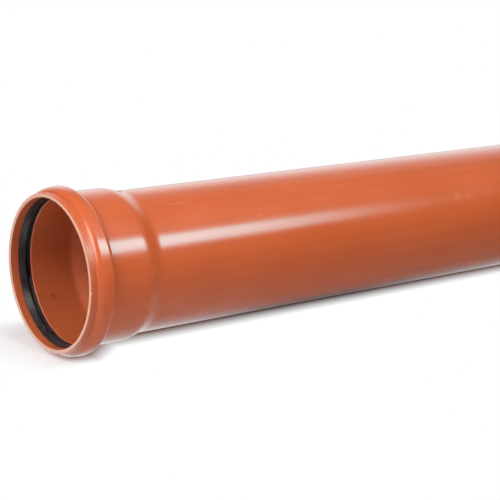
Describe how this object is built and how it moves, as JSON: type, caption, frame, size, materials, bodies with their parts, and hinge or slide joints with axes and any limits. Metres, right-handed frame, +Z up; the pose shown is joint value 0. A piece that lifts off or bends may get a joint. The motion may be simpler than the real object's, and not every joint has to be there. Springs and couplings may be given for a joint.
{
  "type": "pvc sewer pipe",
  "caption": "Orange-brown PVC sewer pipe with a formed socket, a black rubber lip ring in the socket's groove and a bevelled spigot end.",
  "frame": {"origin": "on the floor under the middle of the pipe's axis", "axes": "+X along the pipe from the socket to the spigot, +Z up. The pipe lies on its ring bead and on the far end of its barrel, so its own axis dips 0.73 degrees towards the spigot"},
  "size_m": [1.079, 0.1866, 0.1866],
  "materials": {
    "pvc": "orange-brown PVC-U, extruded, glossy",
    "rubber": "black moulded rubber, satin"
  },
  "bodies": {
    "root": {"pipe": "pvc", "seal_ring": "rubber"}
  },
  "joints": []
}
